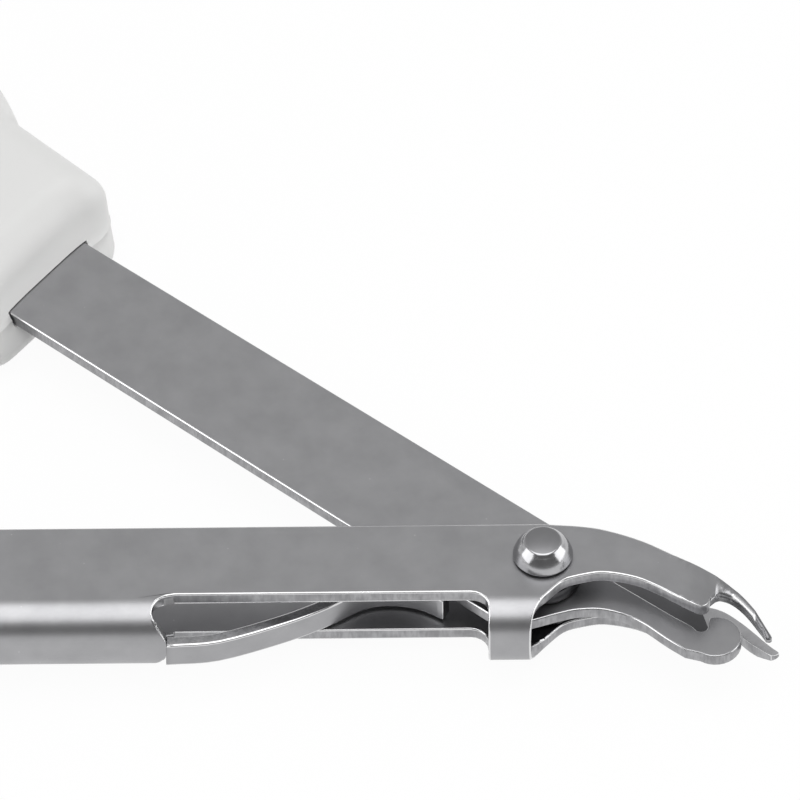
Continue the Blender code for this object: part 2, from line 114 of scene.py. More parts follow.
def set_inputs(tree: bpy.types.NodeTree, node: bpy.types.Node, links: dict) -> None:
    """Set or link a node's inputs.

    Args:
        tree: Node tree that holds the node.
        node: The node.
        links: Input name or number to a value, or to the output socket that feeds it.
    """
    for key, value in links.items():
        socket = node.inputs[key]
        if isinstance(value, bpy.types.NodeSocket):
            tree.links.new(value, socket)
        else:
            socket.default_value = value


def add_node(tree: bpy.types.NodeTree, kind: str, links: dict | None = None,
             **settings: object) -> bpy.types.Node:
    """Add a node with its settings and links.

    Args:
        tree: Node tree that gets the node.
        kind: Blender's name of the node's type, without ShaderNode in front.
        links: What set_inputs takes.
        settings: Attributes of the node itself.

    Returns:
        The new node.
    """
    node = tree.nodes.new("ShaderNode" + kind)
    for name, value in settings.items():
        setattr(node, name, value)
    set_inputs(tree, node, links or {})
    return node


def noise(tree: bpy.types.NodeTree, place: bpy.types.NodeSocket, size_mm: float, detail: float,
          roughness: float = 0.5) -> bpy.types.NodeSocket:
    """Add a cloudy pattern.

    Args:
        tree: Node tree that gets it.
        place: Coordinates in metres.
        size_mm: Size of its clouds.
        detail: Number of finer layers.
        roughness: Strength of the finer layers.

    Returns:
        Its value.
    """
    links = {"Vector": place, "Scale": 1 / (size_mm * MM), "Detail": detail, "Roughness": roughness}
    return add_node(tree, "TexNoise", links).outputs["Fac"]


def combined(tree: bpy.types.NodeTree, operation: str, first: bpy.types.NodeSocket,
             second: bpy.types.NodeSocket | float) -> bpy.types.NodeSocket:
    """Combine two values.

    Args:
        tree: Node tree that gets the node.
        operation: Blender's name of the operation.
        first: First value.
        second: Second value.

    Returns:
        The result.
    """
    return add_node(tree, "Math", {0: first, 1: second}, operation=operation).outputs["Value"]


def ranged(tree: bpy.types.NodeTree, factor: bpy.types.NodeSocket, low: float,
           high: float) -> bpy.types.NodeSocket:
    """Stretch a value from 0 to 1 onto a range.

    Args:
        tree: Node tree that gets the node.
        factor: Value to stretch.
        low: What 0 becomes.
        high: What 1 becomes.

    Returns:
        The new value.
    """
    return add_node(tree, "MapRange", {"Value": factor, "To Min": low, "To Max": high}).outputs["Result"]


def mixed(tree: bpy.types.NodeTree, factor: bpy.types.NodeSocket, first: object,
          second: object) -> bpy.types.NodeSocket:
    """Mix two colours.

    Args:
        tree: Node tree that gets the node.
        factor: Share of the second colour.
        first: First colour, or the socket that gives it.
        second: Second colour, or its socket.

    Returns:
        The mixed colour.
    """
    links = {"Factor": factor, "A": first, "B": second}
    return add_node(tree, "Mix", links, data_type="RGBA").outputs["Result"]


def bump(tree: bpy.types.NodeTree, height: bpy.types.NodeSocket, strength: float, depth_mm: float,
         links: dict | None = None) -> bpy.types.NodeSocket:
    """Turn a pattern into relief.

    Args:
        tree: Node tree that gets the node.
        height: The pattern.
        strength: How much of the relief shows.
        depth_mm: Its depth.
        links: More inputs, such as the normal that it starts from.

    Returns:
        The new normal.
    """
    given = {"Height": height, "Strength": strength, "Distance": depth_mm * MM}
    return add_node(tree, "Bump", given | (links or {})).outputs["Normal"]


def varied(tree: bpy.types.NodeTree, hex_colour: str, factor: bpy.types.NodeSocket, low: float,
           high: float) -> bpy.types.NodeSocket:
    """Darken and lighten a colour by a pattern.

    Args:
        tree: Node tree that gets the nodes.
        hex_colour: The colour.
        factor: The pattern.
        low: Brightness where the pattern is 0.
        high: Brightness where it is 1.

    Returns:
        The new colour.
    """
    links = {"Color": linear(hex_colour), "Value": ranged(tree, factor, low, high)}
    return add_node(tree, "HueSaturation", links).outputs["Color"]


def ramp(tree: bpy.types.NodeTree, factor: bpy.types.NodeSocket, stops: Stops) -> bpy.types.NodeSocket:
    """Map a value through grey stops.

    Args:
        tree: Node tree that gets the ramp.
        factor: Value to map.
        stops: Pairs of place and grey level, from low to high.

    Returns:
        The ramp's colour output.
    """
    node = add_node(tree, "ValToRGB", {"Fac": factor})
    elements = node.color_ramp.elements
    while len(elements) < len(stops):
        elements.new(0.5)
    for element, (place, grey) in zip(elements, stops):
        element.position = place
        element.color = (grey, grey, grey, 1.0)
    return node.outputs["Color"]


def new_material(name: str) -> tuple[bpy.types.Material, bpy.types.NodeTree, bpy.types.Node]:
    """Make a material that has only an output and a Principled shader.

    Args:
        name: Name of the material.

    Returns:
        The material, its tree and its shader.
    """
    material = bpy.data.materials.new(name)
    material.use_nodes = True
    tree = material.node_tree
    return material, tree, tree.nodes["Principled BSDF"]


@dataclass(frozen=True)
class ColdRolledSteel:
    """Strip taken as cold rolled stainless: a satin grey face with faint mottling and a few bright pits."""

    name: str
    dark_hex: str = "#A2A2A4"
    light_hex: str = "#ACACAE"
    pit_hex: str = "#D8D8D8"
    roughness: float = 0.36
    duller_by: float = 0.07     # the grain adds up to this much roughness
    glossier_by: float = 0.05   # and takes off up to this much
    mottle_mm: float = 2.6      # size of the cloudy patches
    mottle_stops: Stops = ((0.3, 0.0), (0.7, 1.0))
    grain_mm: float = 0.16      # skin of the strip, drawn a little coarser than real so that it shows
    grain_depth_mm: float = 0.004
    pit_mm: float = 0.9         # spacing of the pits, of which few show
    pit_stops: Stops = ((0.0, 1.0), (0.07, 0.0))    # the second stop's place is a pit's radius in spacings
    few_stops: Stops = ((0.52, 0.0), (0.6, 1.0))    # pits show only in the lighter patches
    pit_depth_mm: float = 0.01

    def build(self) -> bpy.types.Material:
        """Build the material.

        Returns:
            The finished material.
        """
        material, tree, shader = new_material(self.name)
        place = add_node(tree, "TexCoord").outputs["Object"]
        cloud = noise(tree, place, self.mottle_mm, detail=3.0, roughness=0.55)
        grain = noise(tree, place, self.grain_mm, detail=2.0)
        mottle = ramp(tree, cloud, self.mottle_stops)
        colour = mixed(tree, mottle, linear(self.dark_hex), linear(self.light_hex))
        links = {"Vector": place, "Scale": 1 / (self.pit_mm * MM), "Randomness": 1.0}
        cells = add_node(tree, "TexVoronoi", links).outputs["Distance"]
        pits = ramp(tree, cells, self.pit_stops)
        pitted = combined(tree, "MULTIPLY", pits, ramp(tree, cloud, self.few_stops))
        rise = bump(tree, grain, strength=0.35, depth_mm=self.grain_depth_mm)
        set_inputs(tree, shader, {
            "Base Color": mixed(tree, pitted, colour, linear(self.pit_hex)),
            "Roughness": ranged(tree, grain, self.roughness - self.glossier_by,
                                self.roughness + self.duller_by),
            "Normal": bump(tree, pitted, strength=0.5, depth_mm=self.pit_depth_mm, links={"Normal": rise}),
            "Metallic": 1.0,
        })
        return material


@dataclass(frozen=True)
class ShearedSteel:
    """Cut edge of stamped strip: drag lines across it, mottled from smooth and bright to torn and dull."""

    name: str
    smooth_hex: str = "#A8A8AA"
    torn_hex: str = "#8E8E90"
    roughness: float = 0.3
    streak_mm: float = 0.22     # spacing of the drag lines
    streak_squeeze: float = 0.25    # the lines are drawn out along Z by the inverse of this
    streak_depth_mm: float = 0.008
    patch_mm: float = 1.4       # size of the patches
    tone_stops: Stops = ((0.16, 0.0), (0.36, 1.0))

    def build(self) -> bpy.types.Material:
        """Build the material.

        Returns:
            The finished material.
        """
        material, tree, shader = new_material(self.name)
        place = add_node(tree, "TexCoord").outputs["Object"]
        links = {"Vector": place, "Scale": (1.0, 1.0, self.streak_squeeze)}
        drawn_out = add_node(tree, "Mapping", links).outputs["Vector"]
        streaks = noise(tree, drawn_out, self.streak_mm, detail=3.0, roughness=0.6)
        patches = noise(tree, place, self.patch_mm, detail=2.0)
        tone = ramp(tree, combined(tree, "MULTIPLY", streaks, patches), self.tone_stops)
        set_inputs(tree, shader, {
            "Base Color": mixed(tree, tone, linear(self.torn_hex), linear(self.smooth_hex)),
            "Roughness": self.roughness,
            "Normal": bump(tree, streaks, strength=0.25, depth_mm=self.streak_depth_mm),
            "Metallic": 1.0,
        })
        return material


@dataclass(frozen=True)
class BurnishedSteel:
    """Polished steel, as tumbling leaves it: bright, with a soft break-up of its highlights."""

    name: str
    base_hex: str = "#DEDEDF"
    roughness: float = 0.18
    duller_by: float = 0.08     # the ripple adds up to this much roughness
    glossier_by: float = 0.06   # and takes off up to this much
    wave_mm: float = 0.5        # size of the ripple
    wave_depth_mm: float = 0.01
    darkest: float = 0.86       # brightness of the colour where the ripple is 0
    lightest: float = 1.06      # and where it is 1

    def build(self) -> bpy.types.Material:
        """Build the material.

        Returns:
            The finished material.
        """
        material, tree, shader = new_material(self.name)
        place = add_node(tree, "TexCoord").outputs["Object"]
        ripple = noise(tree, place, self.wave_mm, detail=2.0)
        set_inputs(tree, shader, {
            "Base Color": varied(tree, self.base_hex, ripple, self.darkest, self.lightest),
            "Roughness": ranged(tree, ripple, self.roughness - self.glossier_by,
                                self.roughness + self.duller_by),
            "Normal": bump(tree, ripple, strength=0.3, depth_mm=self.wave_depth_mm),
            "Metallic": 1.0,
        })
        return material


@dataclass(frozen=True)
class MouldedAbs:
    """White plastic taken as moulded ABS: a satin skin with a slow, faint waviness."""

    name: str
    base_hex: str = "#D8D8D7"
    roughness: float = 0.42
    roughness_swing: float = 0.05   # the skin adds or takes off up to this much roughness
    ior: float = 1.54
    skin_mm: float = 0.35       # blasted texture of the mould, drawn coarser than real so that it shows
    skin_depth_mm: float = 0.01
    flow_mm: float = 14.0       # size of the slow waves
    flow_swing: float = 0.03    # they lighten or darken the colour by up to this share

    def build(self) -> bpy.types.Material:
        """Build the material.

        Returns:
            The finished material.
        """
        material, tree, shader = new_material(self.name)
        place = add_node(tree, "TexCoord").outputs["Object"]
        skin = noise(tree, place, self.skin_mm, detail=2.0)
        flow = noise(tree, place, self.flow_mm, detail=1.0)
        set_inputs(tree, shader, {
            "Base Color": varied(tree, self.base_hex, flow, 1 - self.flow_swing, 1 + self.flow_swing),
            "Roughness": ranged(tree, skin, self.roughness - self.roughness_swing,
                                self.roughness + self.roughness_swing),
            "Normal": bump(tree, skin, strength=0.12, depth_mm=self.skin_depth_mm),
            "IOR": self.ior,
        })
        return material


def linked_object(bm: bmesh.types.BMesh, name: str) -> bpy.types.Object:
    """Turn a mesh under construction into an object of the scene.

    Args:
        bm: The mesh, which is freed.
        name: Name of the object and of its mesh.

    Returns:
        The object.
    """
    mesh = bpy.data.meshes.new(name)
    bm.to_mesh(mesh)
    bm.free()
    item = bpy.data.objects.new(name, mesh)
    bpy.context.scene.collection.objects.link(item)
    return item


def copy_of_node(node: bpy.types.Object, name: str, merge_mm: float) -> bpy.types.Object:
    """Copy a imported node's mesh into a new piece with its doubled corners merged.

    Args:
        node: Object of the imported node.
        name: Name of the new piece.
        merge_mm: Corners nearer than this become one.

    Returns:
        The new piece, linked to the scene.
    """
    bm = bmesh.new()
    bm.from_mesh(node.data)
    bmesh.ops.transform(bm, matrix=node.matrix_world, verts=bm.verts)
    bmesh.ops.remove_doubles(bm, verts=bm.verts, dist=merge_mm * MM)
    bmesh.ops.recalc_face_normals(bm, faces=bm.faces)
    return linked_object(bm, name)


def apply_modifiers(piece: bpy.types.Object) -> bpy.types.Mesh:
    """Give a piece the mesh that its modifiers make, and take them off it.

    Args:
        piece: The piece.

    Returns:
        Its new mesh.
    """
    bpy.context.view_layer.update()
    evaluated = piece.evaluated_get(bpy.context.evaluated_depsgraph_get())
    mesh = bpy.data.meshes.new_from_object(evaluated)
    piece.modifiers.clear()
    piece.data = mesh
    return mesh


def arc(centre: tuple[float, float], radius: float, start: float, end: float, steps: int) -> Outline:
    """List the points of an arc.

    Args:
        centre: Its middle.
        radius: Its radius.
        start: Angle of its first point, in degrees.
        end: Angle of its last point.
        steps: Number of chords.

    Returns:
        Points from start to end, both included.
    """
    angles = [math.radians(start + (end - start) * step / steps) for step in range(steps + 1)]
    return [(centre[0] + radius * math.cos(a), centre[1] + radius * math.sin(a)) for a in angles]


@dataclass
class SheetPiece:
    """One piece of stamped sheet, with sheared rims and burnished corners."""

    node: str
    body: str
    finishes: list[bpy.types.Material]
    plane_mm: float = 4.5       # middle plane of the tool
    merge_mm: float = 0.04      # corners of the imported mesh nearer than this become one
    same_plane: float = 0.6     # degrees; neighbouring faces that differ by less become one
    corner_mm: float = 0.13     # radius along the cut corners, of which corner_weight gives each its share
    corner_steps: int = 2
    sharp_from: float = 38.0    # degrees; an edge that turns by less gets no radius
    fade_per_mm: float = 0.45   # share of the radius that is lost with each millimetre of the jaw
    least_share: float = 0.3    # share of the radius that stays
    bend_top_mm: float | None = None   # below this the walls are bent round towards the web
    bend_axis_mm: float = 0.45  # how far the bends' axes lie from the middle plane
    jaw_from_mm: float = 1.0    # past this the sheet has no bends
    on_edge: bool = False       # the strip stands on its edge, so its rims face up and down
    painted_shade_from_mm: float = -2.4  # past this the far wall's inner face has painted shade, dark as the arch
    true_to_mm: float = 9.0     # past this the walls are pinched, shaded as meshed and rounded less
    tines_from_mm: float = 11.6     # the tines start here; the far one's inner face has painted light, drawn brighter
    # from the next place to the one after it, the near tine's outer corner has a painted highlight
    bevel_from_mm: float = 12.5     # past this the near tine's outer corner is bright, as in the photo
    point_from_mm: float = 14.7     # past this it is dull again
    slit_mm: tuple[float, float] | None = None  # place and half height of the slit at the spring's root
    slit_reach_mm: float = 0.4      # what lies nearer than this to the slit's middle belongs to its sides
    root_grows_mm: float = 0.0      # how far the root is drawn into the slit, as both are one sheet

    def across(self, point: Vector) -> Vector:
        """Tell which way the sheet's thickness runs.

        Args:
            point: Place in the sheet, in millimetres.

        Returns:
            Its direction, outwards in the bends and the web.
        """
        if self.bend_top_mm is None or point.y > self.bend_top_mm or point.x > self.jaw_from_mm:
            return Vector((0, 0, 1))
        side = point.z - self.plane_mm
        away = max(0.0, abs(side) - self.bend_axis_mm)
        return Vector((0, point.y - self.bend_top_mm, math.copysign(away, side))).normalized()

    def face_kind(self, centre: Vector, normal: Vector) -> Face:
        """Tell which finish a face has.

        Args:
            centre: Middle of the face, in millimetres.
            normal: Its direction.

        Returns:
            Its kind.
        """
        if self.on_edge:
            is_rim = abs(normal.z) > STRIP_RIM_FROM or abs(normal.x) > STRIP_END_FROM
            return Face.SHEARED if is_rim else Face.ROLLED
        if self.bend_top_mm is not None and centre.x > self.tines_from_mm:
            # painted highlight: the middle of the near tine's outer corner is drawn near white
            if centre.z > self.plane_mm and BEVEL_BETWEEN[0] < normal.z < BEVEL_BETWEEN[1]:
                return Face.BEVEL if self.bevel_from_mm < centre.x < self.point_from_mm else Face.POINT
            # painted light: the far tine's inner face is drawn brighter
            if centre.z < self.plane_mm and normal.z > FACES_UP_FROM:
                return Face.PAINTED_LIGHT
        # painted shade: the far wall's inner face, from the strap on, is drawn dark
        if self.bend_top_mm is not None and centre.x > self.painted_shade_from_mm and centre.z < self.plane_mm:
            if normal.z > FACES_UP_FROM:
                return Face.PAINTED_SHADE
        return Face.SHEARED if abs(normal.dot(self.across(centre))) < RIM_BELOW else Face.ROLLED

    def corner_weight(self, edge: bmesh.types.BMEdge) -> float:
        """Tell how much of the corner radius an edge gets.

        Args:
            edge: Edge of the sheet.

        Returns:
            0 for none and 1 for all of it.
        """
        if len(edge.link_faces) != 2 or edge.calc_face_angle() < math.radians(self.sharp_from):
            return 0.0
        centre = (edge.verts[0].co + edge.verts[1].co) / 2 / MM
        if self.slit_mm:
            place, half_height = self.slit_mm
            near = abs(centre.x - place) < self.slit_reach_mm
            if near and abs(centre.z - self.plane_mm) < half_height:
                return 0.0
        if self.bend_top_mm is not None and centre.x > self.tines_from_mm and centre.z > self.plane_mm:
            return 0.0
        return min(1.0, max(self.least_share, 1 - self.fade_per_mm * (centre.x - self.true_to_mm)))

    def set_normals(self, mesh: bpy.types.Mesh) -> None:
        """Shade the walls, the bends and the web of a folded sheet as if they were drawn exactly.

        Args:
            mesh: Mesh with its corners already rounded.
        """
        normals = [corner.vector.copy() for corner in mesh.corner_normals]
        for polygon in mesh.polygons:
            for corner in polygon.loop_indices:
                point = mesh.vertices[mesh.loops[corner].vertex_index].co / MM
                across = self.across(point)
                lies = across.dot(polygon.normal)
                if point.x < self.true_to_mm and abs(lies) > EXACT_FROM:
                    normals[corner] = across * math.copysign(1.0, lies)
        mesh.normals_split_custom_set(normals)

    def cut_where_shade_starts(self, bm: bmesh.types.BMesh) -> None:
        """Cut the far wall's inner face where its painted shade starts.

        Args:
            bm: Mesh of the folded sheet, in metres.
        """
        inner = [face for face in bm.faces
                 if face.calc_center_median().z < self.plane_mm * MM and face.normal.z > LEVEL_FROM]
        around = {part for face in inner for part in (*face.edges, *face.verts)}
        bmesh.ops.bisect_plane(bm, geom=inner + list(around),
                               plane_co=(self.painted_shade_from_mm * MM, 0, 0), plane_no=(1, 0, 0))

    def mark(self, bm: bmesh.types.BMesh) -> None:
        """Give each face its finish and each edge its share of the radius.

        Args:
            bm: Mesh of the piece, in metres.
        """
        for face in bm.faces:
            face.material_index = self.face_kind(face.calc_center_median() / MM, face.normal).value
            face.smooth = True
        weights = bm.edges.layers.float.new("bevel_weight_edge")
        for edge in bm.edges:
            edge[weights] = self.corner_weight(edge)

    def round_corners(self, piece: bpy.types.Object) -> None:
        """Round the marked edges and keep the flat faces flat.

        Args:
            piece: The piece, whose edges are marked.
        """
        corner = piece.modifiers.new("corner", "BEVEL")
        corner.width = self.corner_mm * MM
        corner.segments = self.corner_steps
        corner.limit_method = "WEIGHT"
        corner.material = Face.BURNISHED.value
        corner.miter_outer = "MITER_ARC"
        corner.use_clamp_overlap = False
        flatten = piece.modifiers.new("flatten", "WEIGHTED_NORMAL")
        flatten.mode = "FACE_AREA"
        flatten.weight = 50

    def build(self, frame: dict) -> bpy.types.Object:
        """Make the dressed copy of the node.


        Returns:
            The finished piece.
        """
        piece = copy_of_node(frame["nodes"][self.node], self.node + "_steel", self.merge_mm)
        for finish in self.finishes:
            piece.data.materials.append(finish)
        bm = bmesh.new()
        bm.from_mesh(piece.data)
        bmesh.ops.dissolve_limit(bm, angle_limit=math.radians(self.same_plane), verts=bm.verts,
                                 edges=bm.edges)
        if self.bend_top_mm is not None:
            self.cut_where_shade_starts(bm)
        self.mark(bm)
        for vert in bm.verts:
            if self.root_grows_mm and vert.co.x < (self.slit_mm[0] + self.slit_reach_mm) * MM:
                vert.co.x -= self.root_grows_mm * MM
        bm.to_mesh(piece.data)
        bm.free()
        self.round_corners(piece)
        if self.bend_top_mm is not None:
            self.set_normals(apply_modifiers(piece))
        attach(piece, self.body)
        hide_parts(self.node)
        return piece


@dataclass
class Rivet:
    """The pivot rivet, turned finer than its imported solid, with a crisp flat on a polished cone."""

    finishes: list[bpy.types.Material]
    head_height_mm: float = 1.5
    flat_radius_mm: float = 1.3
    shank_radius_mm: float = 1.25
    rim_mm: float = 0.13        # rounding of the head's widest place
    rim_steps: int = 6
    rim_degrees: int = 20       # turn of each step round the rim
    cone_steps: int = 8
    crown_mm: float = 0.075     # how far the cone swells at its middle
    lip_mm: float = 0.15        # rounding between the cone and the flat
    turns: int = 96
    sharp_from: float = 50.0    # degrees; an edge that turns by more stays crisp

    def head(self, radius: float) -> Outline:
        """List the head's (radius, height) points in millimetres, from its seat to its flat.

        Args:
            radius: The head's widest radius.

        Returns:
            Points of a rounded rim, a slightly crowned cone and a rounded lip.
        """
        height, flat, rim, lip = self.head_height_mm, self.flat_radius_mm, self.rim_mm, self.lip_mm
        points = [(radius - rim, 0.0)]
        for step in range(1, self.rim_steps + 1):
            turn = math.radians(self.rim_degrees * step - 90)
            points.append((radius - rim + rim * math.cos(turn), rim + rim * math.sin(turn)))
        start, end = points[-1], (flat + 0.6 * lip, height - lip)
        for step in range(1, self.cone_steps + 1):
            share = step / self.cone_steps
            crown = 4 * self.crown_mm * share * (1 - share)
            points.append((start[0] + (end[0] - start[0]) * share + crown,
                           start[1] + (end[1] - start[1]) * share + crown))
        return points + [(flat + 0.2 * lip, height - 0.3 * lip), (flat - 0.5 * lip, height)]

    def build(self, frame: dict) -> bpy.types.Object:
        """Turn the rivet about the pivot's axis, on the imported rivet's place.


        Returns:
            The finished piece.
        """
        low, high = (Vector(corner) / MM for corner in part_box("pivot_rivet"))
        head = self.head((high.x - low.x) / 2)
        upper = [(radius, high.z - self.head_height_mm + height) for radius, height in head]
        lower = [(radius, low.z + self.head_height_mm - height) for radius, height in reversed(head)]
        neck = [(self.shank_radius_mm, lower[-1][1]), (self.shank_radius_mm, upper[0][1])]
        bm = bmesh.new()
        rings = []
        for radius, height in lower + neck + upper:
            angles = [2 * math.pi * turn / self.turns for turn in range(self.turns)]
            rings.append([bm.verts.new((radius * MM * math.cos(a), radius * MM * math.sin(a), height * MM))
                          for a in angles])
        for inner, outer in zip(rings, rings[1:]):
            for turn in range(self.turns):
                after = (turn + 1) % self.turns
                bm.faces.new((inner[turn], inner[after], outer[after], outer[turn])).material_index = 1
        bm.faces.new(rings[0][::-1])
        bm.faces.new(rings[-1])
        bmesh.ops.recalc_face_normals(bm, faces=bm.faces)
        piece = linked_object(bm, "pivot_rivet_steel")
        for finish in self.finishes:
            piece.data.materials.append(finish)
        piece.data.shade_smooth()
        piece.data.set_sharp_from_angle(angle=math.radians(self.sharp_from))
        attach(piece, "frame")
        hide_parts("pivot_rivet")
        return piece


def channel_mouth(gap: float) -> Outline:
    """List the outline of the pocket that grips the folded channel, as (y, z) from the handle's middle.

    Args:
        gap: Clearance round the sheet.

    Returns:
        A U that is open towards +Y, in millimetres.
    """
    height, width, sheet, bend, steps = 8.9, 5.7, 1.0, 2.4, 12
    near, far = (bend - height / 2, width / 2 - bend), (bend - height / 2, bend - width / 2)
    top, outer, inner = height / 2 + gap, width / 2 + gap, width / 2 - sheet - gap
    outside = arc(near, bend + gap, 90, 180, steps) + arc(far, bend + gap, 180, 270, steps)
    inside = arc(far, bend - sheet - gap, 270, 180, steps) + arc(near, bend - sheet - gap, 180, 90, steps)
    return [(top, outer)] + outside + [(top, -outer), (top, -inner)] + inside + [(top, inner)]


@dataclass
class Handle:
    """One moulded ring handle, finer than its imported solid, with the mould's parting line round its side."""

    node: str
    body: str
    finish: bpy.types.Material
    mouth: Outline              # outline of the pocket for the steel, as (y, z) from the handle's middle
    front_mm: float = 43.5
    turn: float = 0.0           # degrees about the pivot
    shift_mm: float = 0.0       # sideways from the pivot
    middle_mm: float = 4.5
    half_depth_mm: float = 4.5
    half_width_mm: float = 7.8
    corner_mm: float = 2.9
    edge_mm: float = 2.7
    neck_end_mm: float = 53.9
    neck_half_mm: float = 8.3
    flare: float = 0.72
    flare_pull_mm: float = 4.0  # places the control points of the curve from the neck to the ring
    ring_centre_mm: float = 76.0
    ring_radius_mm: float = 18.0
    finger_radius_mm: float = 12.5
    join_angle: float = 50.0
    lean: float = 1.04          # the nose leans back from its lower corner
    cheeks: float = 0.92        # share of the lean that is lost at the sides
    lean_end_mm: float = 55.0
    pocket_end_mm: float = 62.25
    parting_mm: float = 0.05    # flash that stands proud where the mould's halves meet
    parting_foot_mm: float = 0.12   # half its width at the wall
    parting_top_mm: float = 0.05    # half its width where it is proud
    nose_steps: int = 6
    corner_steps: int = 14
    flare_steps: int = 16
    ring_steps: int = 52
    finger_steps: int = 96
    round_steps: int = 10
    sharp_from: float = 40.0    # degrees; an edge that turns by more stays crisp

    def outline(self) -> Outline:
        """List the handle's side view.

        Returns:
            Its points in millimetres, anticlockwise, with the nose at the right.
        """
        front, half, corner = self.front_mm, self.half_width_mm, self.corner_mm
        angle, pull = math.radians(self.join_angle), self.flare_pull_mm
        start = (self.neck_end_mm, self.neck_half_mm)
        join = (self.ring_centre_mm - self.ring_radius_mm * math.cos(angle),
                self.ring_radius_mm * math.sin(angle))
        first = (start[0] + pull, start[1] + self.flare * pull)
        second = (join[0] - pull * math.sin(angle), join[1] - pull * math.cos(angle))
        side = [(front, half * step / (2 * self.nose_steps)) for step in range(self.nose_steps + 1)]
        side += arc((front + corner, half - corner), corner, 180, 90, self.corner_steps)
        for step in range(self.flare_steps):
            t = step / self.flare_steps
            weights = ((1 - t) ** 3, 3 * t * (1 - t) ** 2, 3 * t * t * (1 - t), t ** 3)
            side.append(tuple(sum(w * c[axis] for w, c in zip(weights, (start, first, second, join)))
                              for axis in (0, 1)))
        side += arc((self.ring_centre_mm, 0), self.ring_radius_mm, 180 - self.join_angle, 0,
                    self.ring_steps)
        return [(-x, y) for x, y in side] + [(-x, -y) for x, y in side[-2:0:-1]]

    def levels(self) -> Outline:
        """List the rings of corners that make the handle's rounded side.

        Returns:
            Inset and height of each ring, from the lower face to the upper one.
        """
        edge, low, middle = self.edge_mm, self.middle_mm - self.half_depth_mm, self.middle_mm
        turns = [math.pi / 2 * step / self.round_steps for step in range(self.round_steps + 1)]
        lower = [(edge * (1 - math.sin(t)), low + edge * (1 - math.cos(t))) for t in turns]
        line = [(0.0, middle - self.parting_foot_mm), (-self.parting_mm, middle - self.parting_top_mm),
                (-self.parting_mm, middle + self.parting_top_mm), (0.0, middle + self.parting_foot_mm)]
        wall = [(0.0, low + edge + (self.half_depth_mm - edge) * share) for share in (0.3, 0.6)]
        upper_wall = [(0.0, 2 * middle - height) for _, height in reversed(wall)]
        upper = [(inset, 2 * middle - height) for inset, height in reversed(lower)]
        return lower + wall + line + upper_wall + upper

    def moved_inwards(self, loop: Outline, distance: float) -> Outline:
        """Move each point of a loop to its left.

        Args:
            loop: Closed outline.
            distance: How far, in millimetres.

        Returns:
            The new outline.
        """
        moved = []
        for index, point in enumerate(loop):
            before, here = Vector(loop[index - 1]), Vector(point)
            after = Vector(loop[(index + 1) % len(loop)])
            way = ((here - before).normalized() + (after - here).normalized()).normalized()
            moved.append(tuple(here + Vector((-way.y, way.x)) * distance))
        return moved

    def moulding(self) -> bmesh.types.BMesh:
        """Build the solid handle.

        Returns:
            Its mesh in millimetres, along -X.
        """
        bm = bmesh.new()
        rims = ([], [])
        finger = arc((-self.ring_centre_mm, 0), self.finger_radius_mm, 360, 0, self.finger_steps)[:-1]
        for loop in (self.outline(), finger):
            rings = [[bm.verts.new((x, y, height)) for x, y in self.moved_inwards(loop, inset)]
                     for inset, height in self.levels()]
            for lower, upper in zip(rings, rings[1:]):
                for index in range(len(loop)):
                    after = (index + 1) % len(loop)
                    bm.faces.new((lower[index], lower[after], upper[after], upper[index]))
            for rim, ring in zip(rims, (rings[0], rings[-1])):
                rim += [bm.edges.get((ring[i], ring[i - 1])) for i in range(len(ring))]
        for rim in rims:
            bmesh.ops.triangle_fill(bm, use_beauty=True, edges=rim)
        self.lean_nose(bm)
        return bm

    def lean_nose(self, bm: bmesh.types.BMesh) -> None:
        """Lean the nose back, most of all above the steel.

        Args:
            bm: The handle's mesh in millimetres.
        """
        straight = 2 * (self.half_depth_mm - self.edge_mm)
        lowest = self.middle_mm - self.half_depth_mm + self.edge_mm
        for vert in bm.verts:
            fade = min(1.0, (self.lean_end_mm + vert.co.x) / (self.lean_end_mm - self.front_mm))
            if fade <= 0:
                continue
            rise = max(0.0, vert.co.z - lowest)
            back = rise / math.sqrt(straight) if rise < straight else math.sqrt(rise)
            vert.co.x -= self.lean * fade * back * (1 - self.cheeks * (vert.co.y / self.half_width_mm) ** 4)

    def pocket(self) -> bmesh.types.BMesh:
        """Build the space for the steel.

        Returns:
            Its mesh in millimetres, along -X.
        """
        bm = bmesh.new()
        ends = [[bm.verts.new((x, y, self.middle_mm + z)) for y, z in self.mouth]
                for x in (-self.pocket_end_mm, self.corner_mm - self.front_mm)]
        for index in range(len(self.mouth)):
            after = (index + 1) % len(self.mouth)
            bm.faces.new((ends[0][index], ends[0][after], ends[1][after], ends[1][index]))
        bm.faces.new(ends[0][::-1])
        bm.faces.new(ends[1])
        return bm

    def placed(self, bm: bmesh.types.BMesh, name: str) -> bpy.types.Object:
        """Turn a mesh in the handle's own millimetres into an object in its place.

        Args:
            bm: The mesh, which is freed.
            name: Name of the object.

        Returns:
            The object.
        """
        where = Matrix.Rotation(math.radians(self.turn), 4, "Z") @ Matrix.Translation((0, self.shift_mm, 0))
        bmesh.ops.transform(bm, matrix=Matrix.Scale(MM, 4) @ where, verts=bm.verts)
        bmesh.ops.recalc_face_normals(bm, faces=bm.faces)
        return linked_object(bm, name)

    def build(self, frame: dict) -> bpy.types.Object:
        """Mould the handle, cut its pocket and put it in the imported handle's place.

        Args:
            The handle has its own sizes and doesn't need it.

        Returns:
            The finished piece.
        """
        piece = self.placed(self.moulding(), self.node + "_moulding")
        tang = self.placed(self.pocket(), self.node + "_pocket")
        cut = piece.modifiers.new("pocket", "BOOLEAN")
        cut.operation, cut.solver, cut.object = "DIFFERENCE", "EXACT", tang
        mesh = apply_modifiers(piece)
        bpy.data.objects.remove(tang, do_unlink=True)
        mesh.materials.clear()
        mesh.materials.append(self.finish)
        mesh.shade_smooth()
        mesh.set_sharp_from_angle(angle=math.radians(self.sharp_from))
        flatten = piece.modifiers.new("flatten", "WEIGHTED_NORMAL")
        flatten.mode = "FACE_AREA"
        flatten.keep_sharp = True
        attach(piece, self.body)
        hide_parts(self.node)
        return piece


